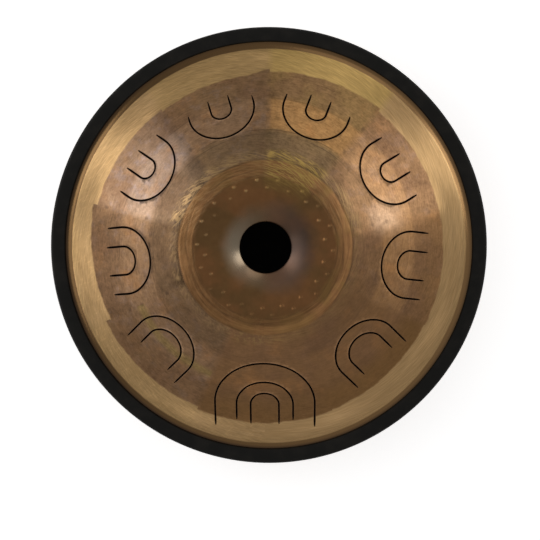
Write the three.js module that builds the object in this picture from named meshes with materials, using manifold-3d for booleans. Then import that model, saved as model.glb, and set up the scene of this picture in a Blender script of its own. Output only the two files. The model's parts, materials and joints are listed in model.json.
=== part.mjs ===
// Steel tongue drum: a slotted, nine-sided top shell on a plain bowl, edged with a rubber trim.
// Millimetres, +Z up. The origin is on the surface that the drum stands on, under its centre.
// The low note points to -Y. Angles are in degrees, anticlockwise from +X, seen from above.
import * as THREE from 'three';
import { mergeVertices } from 'three/addons/utils/BufferGeometryUtils.js';
import Module from 'manifold-3d';

const wasm = await Module();
wasm.setup();

// Sheet, the clearance between pieces, and how far a cut runs past the sheet on each side
const SHEET = 2;
const CLEARANCE = 0.3;
const CUT_REACH = 6;
const MERGE_DISTANCE = 1e-4;

// Rim, where the flanges of the two shells meet
const FLANGE_RADIUS = 260;
const FLANGE_WIDTH = 13;
const BOND_THICKNESS = 0.4;
const BOND_INSET = 1.5;

// Top shell: short skirt, nine flat sides whose creases fade below a round crest, narrow groove,
// ring that falls outwards, dish and port
const SKIRT_WIDTH = 6;
const SHOULDER_HEIGHT = 3;
const SIDE_SLOPE = 34;
const CREST_RADIUS = 106;
const CREST_FADE = 26;
const GROOVE_WIDTH = 3.4;
const GROOVE_DROP = 0.5;
const RING_WIDTH = 17.6;
const RING_RISE = 6.4;
const PORT_RADIUS = 30;
const DISH_ARC_RADIUS = 95;

// Slots: every outer tip lies at the same distance up its side
const TIP_DISTANCE = 124.5;
const SLOT_WIDTH = 2;
const LOW_NOTE_ANGLE = -90;
const LOW_NOTE_SPACING = 45;

// The inner slots come in three widths. A nested slot's setback is from the outer slot's tip,
// and its rise is from the outer slot's root.
const WIDE = { width: 46, setback: 17.5 };
const MEDIUM = { width: 34, setback: 23 };
const NARROW = { width: 25, setback: 27.5 };

// The low note has three nested slots
const LOW_NOTE = {
  name: 'note_1',
  width: 120,
  length: 96,
  nested: [
    { name: 'middle', width: 68, setback: 28.5, rise: 10 },
    { name: 'inner', width: 34, setback: 45.5, rise: 3.5 },
  ],
};

// The other notes, rising in pitch with their numbers, have an outer and an inner slot
const NOTE_WIDTH = 80;

function pairNote(name, length, innerSize, rise) {
  return { name, width: NOTE_WIDTH, length, nested: [{ name: 'inner', ...innerSize, rise }] };
}

// All the notes, anticlockwise from the low one
const NOTES = [
  LOW_NOTE,
  pairNote('note_2', 72, WIDE, 8),
  pairNote('note_4', 61.5, MEDIUM, -2.5),
  pairNote('note_6', 56, NARROW, -10),
  pairNote('note_8', 49.5, NARROW, -11),
  pairNote('note_9', 46.5, NARROW, -11.5),
  pairNote('note_7', 54.5, NARROW, -10.5),
  pairNote('note_5', 60, MEDIUM, -4.5),
  pairNote('note_3', 68.5, WIDE, 7),
];

// Bottom shell: a bowl with a flat base
const BOWL_DEPTH = 88;
const BOWL_BASE_RADIUS = 110;
const BOWL_NECK = 4;

// Rubber edge trim, a U section pushed over both flanges
const TRIM_WALL = 4.4;
const TRIM_LIP = 3;
const TRIM_SLACK = 0.6;
const TRIM_EDGE_ROUND = 3;

// Rubber feet, pushed into holes in the base
const FOOT_COUNT = 4;
const FOOT_CIRCLE_RADIUS = 90;
const FOOT_HEIGHT = 8;
const FOOT_TOP_RADIUS = 13;
const FOOT_SOLE_RADIUS = 11;
const FOOT_HOLE_RADIUS = 4;
const FOOT_BARB_RADIUS = 5.6;
const FOOT_BARB_HEIGHT = 5;
const FOOT_BARB_TIP_RADIUS = 2.5;

// Facets of the round shapes
const STEPS_PER_SIDE = 6;
const ROUND_STEPS = 54;
const FOOT_STEPS = 16;
const TIP_STEPS = 8;
const DISH_STEPS = 6;
const BOWL_STEPS = 8;
const EDGE_STEPS = 2;

// Places worked out from the sizes above
const BASE_Z = FOOT_HEIGHT;
const BOWL_RIM_Z = BASE_Z + BOWL_DEPTH;
const BOND_Z = BOWL_RIM_Z + CLEARANCE;
const RIM_Z = BOND_Z + BOND_THICKNESS + CLEARANCE + SHEET;
const FLANGE_INNER_RADIUS = FLANGE_RADIUS - FLANGE_WIDTH;
const SHOULDER_RADIUS = FLANGE_INNER_RADIUS - SKIRT_WIDTH;
const SHOULDER_Z = RIM_Z + SHOULDER_HEIGHT;
const SLOPE = THREE.MathUtils.degToRad(SIDE_SLOPE);
const CREST_Z = SHOULDER_Z + (SHOULDER_RADIUS - CREST_RADIUS) * Math.tan(SLOPE);
const FADE_RADIUS = CREST_RADIUS + CREST_FADE;
const GROOVE_RADIUS = CREST_RADIUS - GROOVE_WIDTH;
const GROOVE_Z = CREST_Z - GROOVE_DROP;
const RING_INNER_RADIUS = GROOVE_RADIUS - RING_WIDTH;
const RING_Z = GROOVE_Z + RING_RISE;

const STEEL = { color: 0x8a6440, roughness: 0.38, metalness: 1 };
const GOLD_STEEL = { color: 0xa67c4c, roughness: 0.34, metalness: 1 };
const RUBBER = { color: 0x17150f, roughness: 0.75, metalness: 0 };
const ADHESIVE = { color: 0x2a2622, roughness: 0.6, metalness: 0 };

// Solids

function solidFrom(geometry) {
  const bare = geometry.clone();
  bare.deleteAttribute('normal');
  bare.deleteAttribute('uv');
  const merged = mergeVertices(bare, MERGE_DISTANCE);
  const corners = merged.index.array;
  const triangles = [];
  for (let i = 0; i < corners.length; i += 3) {
    const [a, b, c] = [corners[i], corners[i + 1], corners[i + 2]];
    if (a !== b && b !== c && c !== a) triangles.push(a, b, c);
  }
  const vertProperties = new Float32Array(merged.attributes.position.array);
  const triVerts = new Uint32Array(triangles);
  return new wasm.Manifold(new wasm.Mesh({ numProp: 3, vertProperties, triVerts }));
}

function geometryFrom(solid) {
  const { vertProperties, triVerts } = solid.getMesh();
  const geometry = new THREE.BufferGeometry();
  geometry.setAttribute('position', new THREE.BufferAttribute(vertProperties, 3));
  geometry.setIndex(new THREE.BufferAttribute(triVerts, 1));
  geometry.computeVertexNormals();
  return geometry;
}

function namedMesh(name, geometry, finish) {
  const mesh = new THREE.Mesh(geometry, new THREE.MeshStandardMaterial(finish));
  mesh.name = name;
  return mesh;
}

// A profile of radius and height, turned about the Z axis
function revolve(points, steps) {
  return new THREE.LatheGeometry(points, steps).rotateX(Math.PI / 2);
}

// The same line moved sideways, to its left, by the sheet's thickness, with mitred corners
function offsetLeft(points, distance) {
  const sides = points.slice(1).map((point, i) => {
    const along = point.clone().sub(points[i]).normalize();
    return new THREE.Vector2(-along.y, along.x);
  });
  return points.map((point, i) => {
    const before = sides[Math.max(i - 1, 0)];
    const after = sides[Math.min(i, sides.length - 1)];
    const mitre = before.clone().add(after).normalize();
    return point.clone().addScaledVector(mitre, distance / mitre.dot(after));
  });
}

// Top shell

function noteAngle(place) {
  if (place === 0) return LOW_NOTE_ANGLE;
  const shared = (360 - 2 * LOW_NOTE_SPACING) / (NOTES.length - 2);
  return LOW_NOTE_ANGLE + LOW_NOTE_SPACING + (place - 1) * shared;
}

function sideHeight(radius, angleFromMiddle) {
  const run = SHOULDER_RADIUS - radius * Math.cos(angleFromMiddle);
  return SHOULDER_Z + run * Math.tan(SLOPE);
}

// The dish leaves the ring level and steepens along an arc down to the port
function dishProfile() {
  const reach = RING_INNER_RADIUS - PORT_RADIUS;
  const steepest = Math.asin(Math.min(reach / DISH_ARC_RADIUS, 1));
  return Array.from({ length: DISH_STEPS }, (_, i) => {
    const angle = (steepest * (i + 1)) / DISH_STEPS;
    const radius = RING_INNER_RADIUS - DISH_ARC_RADIUS * Math.sin(angle);
    return new THREE.Vector2(radius, RING_Z - DISH_ARC_RADIUS * (1 - Math.cos(angle)));
  });
}

// Outer skin from the flange's edge to the port, on a line at this angle from a side's middle
function topProfile(angleFromMiddle) {
  return [
    new THREE.Vector2(FLANGE_RADIUS, RIM_Z),
    new THREE.Vector2(FLANGE_INNER_RADIUS, RIM_Z),
    new THREE.Vector2(SHOULDER_RADIUS, sideHeight(SHOULDER_RADIUS, angleFromMiddle)),
    new THREE.Vector2(FADE_RADIUS, sideHeight(FADE_RADIUS, angleFromMiddle)),
    new THREE.Vector2(CREST_RADIUS, CREST_Z),
    new THREE.Vector2(GROOVE_RADIUS, GROOVE_Z),
    new THREE.Vector2(RING_INNER_RADIUS, RING_Z),
    ...dishProfile(),
  ];
}

// Lines round the shell: each crease lies midway between two notes
function stations() {
  const angles = NOTES.map((_, place) => noteAngle(place));
  const found = [];
  angles.forEach((middle, place) => {
    const previous = place === 0 ? angles[angles.length - 1] - 360 : angles[place - 1];
    const next = place === angles.length - 1 ? angles[0] + 360 : angles[place + 1];
    const first = (previous + middle) / 2;
    const last = (middle + next) / 2;
    for (let step = 0; step < STEPS_PER_SIDE; step += 1) {
      const angle = THREE.MathUtils.lerp(first, last, step / STEPS_PER_SIDE);
      const fromMiddle = THREE.MathUtils.degToRad(angle - middle);
      found.push({ angle: THREE.MathUtils.degToRad(angle), fromMiddle });
    }
  });
  return found;
}

// The unslotted top shell, a loop of outer and inner skin carried round all the stations
function topBlank() {
  const lines = stations();
  const positions = [];
  let loopLength = 0;
  for (const { angle, fromMiddle } of lines) {
    const outer = topProfile(fromMiddle);
    const loop = [...outer, ...offsetLeft(outer, SHEET).reverse()];
    loopLength = loop.length;
    for (const point of loop) positions.push(point.x * Math.cos(angle), point.x * Math.sin(angle), point.y);
  }
  const index = [];
  for (let i = 0; i < lines.length; i += 1) {
    const here = i * loopLength;
    const next = ((i + 1) % lines.length) * loopLength;
    for (let j = 0; j < loopLength; j += 1) {
      const after = (j + 1) % loopLength;
      index.push(here + j, next + j, next + after, here + j, next + after, here + after);
    }
  }
  const geometry = new THREE.BufferGeometry();
  geometry.setAttribute('position', new THREE.Float32BufferAttribute(positions, 3));
  geometry.setIndex(index);
  return solidFrom(geometry);
}

// Tongues

// A plate on one note's side: straight legs from the root and a half-round tip. Its faces lie
// this far above and below the side's outer skin.
function tonguePlate(place, { width, root, tip }, above, below) {
  const half = width / 2;
  const outline = new THREE.Shape();
  outline.moveTo(-half, root);
  outline.lineTo(half, root);
  outline.absarc(0, tip - half, half, 0, Math.PI, false);
  const extrusion = { depth: above + below, bevelEnabled: false, curveSegments: TIP_STEPS };
  const plate = new THREE.ExtrudeGeometry(outline, extrusion);
  plate.translate(0, 0, -below);
  const angle = THREE.MathUtils.degToRad(noteAngle(place));
  const [cos, sin] = [Math.cos(angle), Math.sin(angle)];
  const across = new THREE.Vector3(-sin, cos, 0);
  const upSlope = new THREE.Vector3(-cos * Math.cos(SLOPE), -sin * Math.cos(SLOPE), Math.sin(SLOPE));
  const outward = new THREE.Vector3().crossVectors(across, upSlope);
  const shoulder = new THREE.Vector3(SHOULDER_RADIUS * cos, SHOULDER_RADIUS * sin, SHOULDER_Z);
  plate.applyMatrix4(new THREE.Matrix4().makeBasis(across, upSlope, outward).setPosition(shoulder));
  return solidFrom(plate);
}

// The centre lines of one note's slots, outermost first, as distances up its side
function slotsOf(note) {
  const root = TIP_DISTANCE - note.length;
  const outer = { name: 'outer', width: note.width, tip: TIP_DISTANCE, root };
  const nested = note.nested.map(({ name, width, setback, rise }) => {
    return { name, width, tip: TIP_DISTANCE - setback, root: root + rise };
  });
  return [outer, ...nested];
}

// What a slot's outer edge cuts out of the sheet
function slotOpening(place, { width, root, tip }) {
  const edge = { width: width + SLOT_WIDTH, tip: tip + SLOT_WIDTH / 2, root: root - CLEARANCE / 2 };
  return tonguePlate(place, edge, CUT_REACH, SHEET + CUT_REACH);
}

// The tongue inside a slot, before the slots nested in it are cut
function tongueBlank(place, { width, root, tip }) {
  const edge = { width: width - SLOT_WIDTH, tip: tip - SLOT_WIDTH / 2, root: root + CLEARANCE / 2 };
  return tonguePlate(place, edge, 0, SHEET);
}

function tonguesOf(note, place) {
  const slots = slotsOf(note);
  return slots.map((slot, depth) => {
    const nested = slots.slice(depth + 1);
    const cut = (tongue, inner) => tongue.subtract(slotOpening(place, inner));
    const tongue = nested.reduce(cut, tongueBlank(place, slot));
    return namedMesh(`${note.name}_${slot.name}_tongue`, geometryFrom(tongue), GOLD_STEEL);
  });
}

function topShell() {
  let shell = topBlank();
  NOTES.forEach((note, place) => {
    for (const slot of slotsOf(note)) shell = shell.subtract(slotOpening(place, slot));
  });
  return namedMesh('top_shell', geometryFrom(shell), STEEL);
}

// Bottom shell

// Outer skin of the bowl from the axis to the flange's edge
function bowlProfile() {
  const flangeUnderZ = BOWL_RIM_Z - SHEET;
  const side = new THREE.EllipseCurve(
    BOWL_BASE_RADIUS, flangeUnderZ - BOWL_NECK,
    FLANGE_INNER_RADIUS - BOWL_NECK - BOWL_BASE_RADIUS, flangeUnderZ - BOWL_NECK - BASE_Z,
    -Math.PI / 2, 0,
  );
  return [
    new THREE.Vector2(0, BASE_Z),
    ...side.getPoints(BOWL_STEPS),
    new THREE.Vector2(FLANGE_INNER_RADIUS, flangeUnderZ),
    new THREE.Vector2(FLANGE_RADIUS, flangeUnderZ),
  ];
}

function footPlace(copy) {
  const angle = ((copy + 0.5) * 2 * Math.PI) / FOOT_COUNT;
  return new THREE.Vector3(FOOT_CIRCLE_RADIUS * Math.cos(angle), FOOT_CIRCLE_RADIUS * Math.sin(angle), 0);
}

function bottomShell() {
  const outer = bowlProfile();
  const inner = offsetLeft(outer, SHEET).reverse();
  let shell = solidFrom(revolve([...outer, ...inner], ROUND_STEPS));
  for (let copy = 0; copy < FOOT_COUNT; copy += 1) {
    const length = SHEET + 2 * CUT_REACH;
    const drill = new THREE.CylinderGeometry(FOOT_HOLE_RADIUS, FOOT_HOLE_RADIUS, length, FOOT_STEPS);
    const place = footPlace(copy);
    drill.rotateX(Math.PI / 2).translate(place.x, place.y, BASE_Z + SHEET / 2);
    shell = shell.subtract(solidFrom(drill));
  }
  return namedMesh('bottom_shell', geometryFrom(shell), STEEL);
}

// Rim

function bondRing() {
  const outer = FLANGE_RADIUS - BOND_INSET;
  const inner = FLANGE_INNER_RADIUS + BOND_INSET;
  const section = [
    new THREE.Vector2(inner, BOND_Z),
    new THREE.Vector2(outer, BOND_Z),
    new THREE.Vector2(outer, BOND_Z + BOND_THICKNESS),
    new THREE.Vector2(inner, BOND_Z + BOND_THICKNESS),
    new THREE.Vector2(inner, BOND_Z),
  ];
  return namedMesh('bond_ring', revolve(section, ROUND_STEPS), ADHESIVE);
}

// A U section round the flanges, with both outer corners rounded
function rimTrim() {
  const cavityRadius = FLANGE_RADIUS + TRIM_SLACK;
  const outerRadius = cavityRadius + TRIM_WALL;
  const lipRadius = FLANGE_INNER_RADIUS + CLEARANCE;
  const cavityTop = RIM_Z + CLEARANCE;
  const cavityFloor = BOWL_RIM_Z - SHEET - CLEARANCE;
  const top = cavityTop + TRIM_LIP;
  const floor = cavityFloor - TRIM_LIP;
  const round = Math.min(TRIM_EDGE_ROUND, TRIM_WALL, TRIM_LIP);
  const lower = new THREE.EllipseCurve(outerRadius - round, floor + round, round, round, -Math.PI / 2, 0);
  const upper = new THREE.EllipseCurve(outerRadius - round, top - round, round, round, 0, Math.PI / 2);
  const section = [
    new THREE.Vector2(lipRadius, floor),
    ...lower.getPoints(EDGE_STEPS),
    ...upper.getPoints(EDGE_STEPS),
    new THREE.Vector2(lipRadius, top),
    new THREE.Vector2(lipRadius, cavityTop),
    new THREE.Vector2(cavityRadius, cavityTop),
    new THREE.Vector2(cavityRadius, cavityFloor),
    new THREE.Vector2(lipRadius, cavityFloor),
    new THREE.Vector2(lipRadius, floor),
  ];
  return namedMesh('rim_trim', revolve(section, ROUND_STEPS), RUBBER);
}

// Feet

// One foot, from its sole up through the base to the barb that holds it
function foot(copy) {
  const seatZ = BASE_Z - CLEARANCE;
  const barbZ = BASE_Z + SHEET + CLEARANCE;
  const stemRadius = FOOT_HOLE_RADIUS - CLEARANCE;
  const profile = [
    new THREE.Vector2(0, 0),
    new THREE.Vector2(FOOT_SOLE_RADIUS, 0),
    new THREE.Vector2(FOOT_TOP_RADIUS, seatZ),
    new THREE.Vector2(stemRadius, seatZ),
    new THREE.Vector2(stemRadius, barbZ),
    new THREE.Vector2(FOOT_BARB_RADIUS, barbZ),
    new THREE.Vector2(FOOT_BARB_TIP_RADIUS, barbZ + FOOT_BARB_HEIGHT),
    new THREE.Vector2(0, barbZ + FOOT_BARB_HEIGHT),
  ];
  const mesh = namedMesh(`foot_${copy + 1}`, revolve(profile, FOOT_STEPS), RUBBER);
  mesh.position.copy(footPlace(copy));
  return mesh;
}

const notes = new THREE.Group();
NOTES.forEach((note, place) => notes.add(...tonguesOf(note, place)));

const feet = new THREE.Group();
for (let copy = 0; copy < FOOT_COUNT; copy += 1) feet.add(foot(copy));

const drum = new THREE.Group();
drum.name = 'tongue_drum';
drum.add(topShell(), notes, bottomShell(), bondRing(), rimTrim(), feet);

export default drum;
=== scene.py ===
"""Looks of a steel tongue drum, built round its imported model.

Shapes are worked out in millimetres and become metres when a mesh is made. An azimuth is an angle
anticlockwise from +X, seen from above.
"""

import json
import math

import bpy
import numpy as np
from mathutils import Matrix, Vector
from mathutils.geometry import delaunay_2d_cdt

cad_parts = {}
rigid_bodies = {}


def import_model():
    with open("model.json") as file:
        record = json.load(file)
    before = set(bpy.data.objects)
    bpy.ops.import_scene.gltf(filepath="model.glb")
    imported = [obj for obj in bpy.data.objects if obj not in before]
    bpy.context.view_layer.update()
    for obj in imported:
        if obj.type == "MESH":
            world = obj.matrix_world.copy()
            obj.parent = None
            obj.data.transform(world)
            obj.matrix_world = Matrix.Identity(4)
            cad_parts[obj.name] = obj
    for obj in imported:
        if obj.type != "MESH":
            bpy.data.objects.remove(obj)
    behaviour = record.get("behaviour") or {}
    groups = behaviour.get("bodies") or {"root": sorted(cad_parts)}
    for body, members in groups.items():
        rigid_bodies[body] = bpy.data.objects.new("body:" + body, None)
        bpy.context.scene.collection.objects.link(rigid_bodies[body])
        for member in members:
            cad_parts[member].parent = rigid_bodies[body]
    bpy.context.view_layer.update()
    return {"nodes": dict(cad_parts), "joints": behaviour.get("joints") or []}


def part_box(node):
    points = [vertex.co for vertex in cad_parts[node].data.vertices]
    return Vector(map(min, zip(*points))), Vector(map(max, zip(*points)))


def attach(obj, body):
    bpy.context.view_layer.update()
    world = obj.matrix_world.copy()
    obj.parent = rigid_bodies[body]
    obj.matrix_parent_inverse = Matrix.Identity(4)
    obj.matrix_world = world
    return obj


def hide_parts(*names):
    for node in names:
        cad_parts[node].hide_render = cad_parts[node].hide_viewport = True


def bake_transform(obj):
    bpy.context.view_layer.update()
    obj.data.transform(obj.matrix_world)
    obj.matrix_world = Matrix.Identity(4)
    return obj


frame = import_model()
MM = 0.001


def column(items, name, width=1, kind=np.int32):
    """One property of all a mesh's vertices, corners or faces."""
    values = np.empty(width * len(items), kind)
    items.foreach_get(name, values)
    return values


def mesh_points(mesh):
    """A mesh's vertices, in millimetres."""
    return column(mesh.vertices, "co", 3, np.float32).reshape(-1, 3).astype(float) / MM


def node_points(node):
    return mesh_points(frame["nodes"][node].data)


# Sheet and slots
SHEET = 2.0
SLOT_WIDTH = 2.0
ROOT_CLEARANCE = 0.15
SLOT_END_WIDTH = 0.8
SLOT_TAPER = 8.0
CHAMFER = 0.5
ROOT_BEND = 3.0

# Sides of the top shell
SLOPE = math.radians(34)
SHOULDER_RADIUS = 241.0
SHOULDER_HEIGHT = 3.0
SKIRT_WIDTH = 6.0
CREASE_SOFTNESS = 2.4

# How far the sides bend round the axis, from 0 for flat to 1 for a cone, and how they end at the rim
SIDE_ROUNDNESS = 0.5
RIM_ROUNDNESS = 1.0
RIM_BLEND = 30.0
RIM_DROP = 1.2
RIM_DROP_REACH = 36.0
RIM_SOFTNESS = 1.0

# Crest, groove, ring and dish
CREST_RADIUS = 106.0
CREST_SOFTNESS = 2.2
GROOVE_RADIUS = 102.6
GROOVE_DROP = 0.5
RING_INNER_RADIUS = 85.0
RING_RISE = 6.4
DISH_ARC_RADIUS = 95.0
PORT_LIP = 0.8

# Lines turned in the ring: radius, share of the full depth, half width and how far they wander
TURNED_LINES = ((84.4, 0.45, 1.0, 0.5), (92.0, 0.45, 1.4, 0.9), (GROOVE_RADIUS, 0.75, 1.4, 0.35))
LINE_DEPTH = 0.25

# How strong the lines are, how far that changes, their faintest share, and their waves to a turn
LINE_STRENGTH = 0.7
LINE_FADING = 0.22
LINE_FAINTEST = 0.1
LINE_WAVES = (2, 3, 5, 8, 13)

# Pressed studs round the dish, in two rows that alternate: radius and first azimuth
STUD_ROWS = ((71.0, 8.6), (79.2, -1.4))
STUDS_PER_ROW = 18
STUD_RADIUS = 3.5
STUD_HEIGHT = 1.35
STUD_SHARES = (0.75, 1.15)
STUD_TURN_SPREAD = 1.2
STUD_PLACE_SPREAD = 0.7

# Nubs on the crest beside the creases: azimuth and share of the full height
NUBS = ((9.8, 0.75), (51.4, 0.5), (88.2, 1.0), (126.1, 0.5), (162.8, 1.0), (200.2, 0.85), (241.8, 0.55))
NUB_PLACE = 108.5
NUB_RADIUS = 6.5
NUB_HEIGHT = 0.55

# Unevenness of the hammered sheet
WAVE_COUNT = 14
WAVE_LENGTHS = (34.0, 85.0)
WAVE_HEIGHT = 0.05
WAVE_FADE = 20.0

# Seeds of the random draws
WAVE_SEED = 3
STUD_SEED = 7
LINE_SEED = 11

# Spacing of the points along slots, hinge lines and creases, and the rows of points beside a crease
SLOT_SPACING = 2.2
ROOT_SPACING = 4.0
CREASE_SPACING = 4.0
CREASE_ROWS = (-6, -3.5, -1.6, 0, 1.6, 3.5, 6)
SLOT_MARGIN = 1.3

# Points round a slot's end
END_POINTS = 6

# Places worked out from the frame
TOP_POINTS = node_points("top_shell")
TOP_RADII = np.hypot(TOP_POINTS[:, 0], TOP_POINTS[:, 1])
FLANGE_RADIUS = TOP_RADII.max()
PORT_RADIUS = TOP_RADII.min()
RIM_Z = TOP_POINTS[:, 2].min() + SHEET
FLANGE_INNER_RADIUS = SHOULDER_RADIUS + SKIRT_WIDTH
SHOULDER_Z = RIM_Z + SHOULDER_HEIGHT
CREST_Z = SHOULDER_Z + (SHOULDER_RADIUS - CREST_RADIUS) * math.tan(SLOPE)
RING_Z = CREST_Z - GROOVE_DROP + RING_RISE


# Sides and slots


class Side:
    """One flat side: its azimuth and its own axes, u across it and s up it from the shoulder."""

    def __init__(self, azimuth):
        self.azimuth = azimuth
        self.cos, self.sin = math.cos(azimuth), math.sin(azimuth)
        self.up = np.array((-self.cos * math.cos(SLOPE), -self.sin * math.cos(SLOPE), math.sin(SLOPE)))
        self.shoulder = np.array((SHOULDER_RADIUS * self.cos, SHOULDER_RADIUS * self.sin, SHOULDER_Z))
        self.slots = []

    def on_side(self, x, y):
        u = y * self.cos - x * self.sin
        s = (SHOULDER_RADIUS - x * self.cos - y * self.sin) / math.cos(SLOPE)
        return u, s

    def in_plan(self, u, s):
        along = SHOULDER_RADIUS - s * math.cos(SLOPE)
        return along * self.cos - u * self.sin, along * self.sin + u * self.cos

    def in_space(self, u, s):
        x, y = self.in_plan(u, s)
        return Vector((x, y, SHOULDER_Z + s * math.sin(SLOPE))) * MM

    def plane_height(self, x, y):
        return SHOULDER_Z + (SHOULDER_RADIUS - x * self.cos - y * self.sin) * math.tan(SLOPE)


class Slot:
    """The U-shaped cut round one tongue, measured from the tongue's CAD node."""

    def __init__(self, joint, side):
        self.body, self.parent = joint["child"], joint["parent"]
        self.node = self.body + "_tongue"
        self.side = side
        points = node_points(self.node)
        across = points[:, 1] * side.cos - points[:, 0] * side.sin
        climb = (points - side.shoulder) @ side.up
        self.half = (across.max() - across.min() + SLOT_WIDTH) / 2
        self.root = climb.min() - ROOT_CLEARANCE
        self.tip = climb.max() + SLOT_WIDTH / 2
        self.bend = self.tip - self.half

    def half_width(self, s):
        """Half the slot's width, which narrows towards the two ends of the U."""
        share = np.clip((s - self.root) / SLOT_TAPER, 0, 1)
        return (SLOT_END_WIDTH + (SLOT_WIDTH - SLOT_END_WIDTH) * share * (2 - share)) / 2

    def distance(self, u, s):
        """How far a point lies outside the slot's edges, negative in the slot."""
        on_leg = np.hypot(np.abs(u) - self.half, np.minimum(s - self.root, 0))
        on_bend = np.abs(np.hypot(u, s - self.bend) - self.half)
        return np.where(s > self.bend, on_bend, on_leg) - self.half_width(s)

    def encloses(self, u, s):
        on_bend = np.hypot(u, np.maximum(s - self.bend, 0)) < self.half
        return on_bend & (s > self.root)

    def outline(self, grow):
        """The closed outline of the slot, moved outwards by grow, as points of u and s."""
        leg = np.linspace(self.root, self.bend, round((self.bend - self.root) / SLOT_SPACING))
        turn = np.linspace(math.pi, 0, round(math.pi * self.half / SLOT_SPACING))[1:-1]
        outward, inward = [], []
        for edge, sign in ((outward, 1), (inward, -1)):
            reach = self.half + sign * (self.half_width(leg) + grow)
            bend_reach = self.half + sign * (SLOT_WIDTH / 2 + grow)
            edge.extend(zip(-reach, leg))
            edge.extend(zip(bend_reach * np.cos(turn), self.bend + bend_reach * np.sin(turn)))
            edge.extend(zip(reach[::-1], leg[::-1]))
        cap = SLOT_END_WIDTH / 2 + grow
        angles = np.linspace(0, -math.pi, END_POINTS)[1:-1]
        right = [(self.half + cap * math.cos(a), self.root + cap * math.sin(a)) for a in angles]
        left = [(-u, s) for u, s in reversed(right)]
        return outward + right + inward[::-1] + left

    def root_line(self):
        """The hinge line from the slot's one end to its other end."""
        edge = self.half - SLOT_END_WIDTH / 2
        inner = edge - CHAMFER
        between = np.linspace(-inner, inner, round(2 * inner / ROOT_SPACING))
        return [(u, self.root) for u in (-edge, *between, edge)]


def read_sides():
    sides = {}
    for joint in frame["joints"]:
        azimuth = math.atan2(-joint["axis"][0], joint["axis"][1])
        side = sides.setdefault(round(azimuth, 4), Side(azimuth))
        side.slots.append(Slot(joint, side))
    for side in sides.values():
        side.slots.sort(key=lambda slot: -slot.half)
    return [sides[key] for key in sorted(sides)]


SIDES = read_sides()
AZIMUTHS = np.array([side.azimuth for side in SIDES])
CREASES = (AZIMUTHS + np.append(AZIMUTHS[1:], AZIMUTHS[0] + math.tau)) / 2


def side_of(x, y):
    """The index of the side that each point lies on."""
    return np.argmax([x * side.cos + y * side.sin for side in SIDES], axis=0)


# Height of the outer skin


def smooth_step(value, low, high):
    """0 at low, 1 at high and smooth between them, also where low is above high."""
    share = np.clip((value - low) / (high - low), 0, 1)
    return share * share * (3 - 2 * share)


def soft_least(heights, softness):
    """The least of several heights, rounded where two of them meet."""
    heights = np.array(heights)
    lowest = heights.min(axis=0)
    return lowest - softness * np.log(np.exp((lowest - heights) / softness).sum(axis=0))


def inner_profile(radius):
    """The turned part inside the sides: the ring, which falls outwards, and the dish."""
    ring = RING_Z - RING_RISE * (radius - RING_INNER_RADIUS) / (GROOVE_RADIUS - RING_INNER_RADIUS)
    reach = np.maximum(RING_INNER_RADIUS - radius, 0)
    dish = RING_Z - DISH_ARC_RADIUS + np.sqrt(DISH_ARC_RADIUS**2 - reach**2)
    return np.where(radius < RING_INNER_RADIUS, dish, ring)


def roundness(radius):
    near_rim = smooth_step(radius, SHOULDER_RADIUS - RIM_BLEND, SHOULDER_RADIUS)
    return SIDE_ROUNDNESS + (RIM_ROUNDNESS - SIDE_ROUNDNESS) * near_rim


def sheet_waves(x, y):
    """Slow unevenness that dies out towards the rim."""
    rng = np.random.default_rng(WAVE_SEED)
    waves = np.zeros_like(x)
    for _ in range(WAVE_COUNT):
        turn = math.tau / rng.uniform(*WAVE_LENGTHS)
        heading, phase = rng.uniform(0, math.tau, 2)
        waves += np.sin(turn * (x * math.cos(heading) + y * math.sin(heading)) + phase)
    inside = smooth_step(np.hypot(x, y), FLANGE_INNER_RADIUS, SHOULDER_RADIUS - WAVE_FADE)
    return WAVE_HEIGHT * waves * inside


def base_height(x, y):
    """The outer skin without its small features."""
    radius = np.hypot(x, y)
    planes = soft_least([side.plane_height(x, y) for side in SIDES], CREASE_SOFTNESS)
    cone = SHOULDER_Z + (SHOULDER_RADIUS - radius) * math.tan(SLOPE)
    sides = planes + (cone - planes) * roundness(radius)
    sides -= RIM_DROP * smooth_step(radius, SHOULDER_RADIUS - RIM_DROP_REACH, SHOULDER_RADIUS)
    top = soft_least([sides + sheet_waves(x, y), inner_profile(radius)], CREST_SOFTNESS)
    return -soft_least([-top, np.full_like(top, -RIM_Z)], RIM_SOFTNESS)


def bump_height(x, y, radius, angle, reach, tall):
    """A round bump of that reach and height, at a radius and an angle."""
    away = np.hypot(x - radius * math.cos(angle), y - radius * math.sin(angle))
    return tall * (1 - np.clip(away / reach, 0, 1) ** 2) ** 2


def stud_height(x, y):
    rng = np.random.default_rng(STUD_SEED)
    raised = np.zeros_like(x)
    for radius, first in STUD_ROWS:
        for copy in range(STUDS_PER_ROW):
            azimuth = first + copy * 360 / STUDS_PER_ROW + rng.normal(0, STUD_TURN_SPREAD)
            place = radius + rng.normal(0, STUD_PLACE_SPREAD)
            tall = STUD_HEIGHT * rng.uniform(*STUD_SHARES)
            raised += bump_height(x, y, place, math.radians(azimuth), STUD_RADIUS, tall)
    return raised


def nub_height(x, y):
    raised = np.zeros_like(x)
    for azimuth, share in NUBS:
        raised += bump_height(x, y, NUB_PLACE, math.radians(azimuth), NUB_RADIUS, NUB_HEIGHT * share)
    return raised


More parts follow.
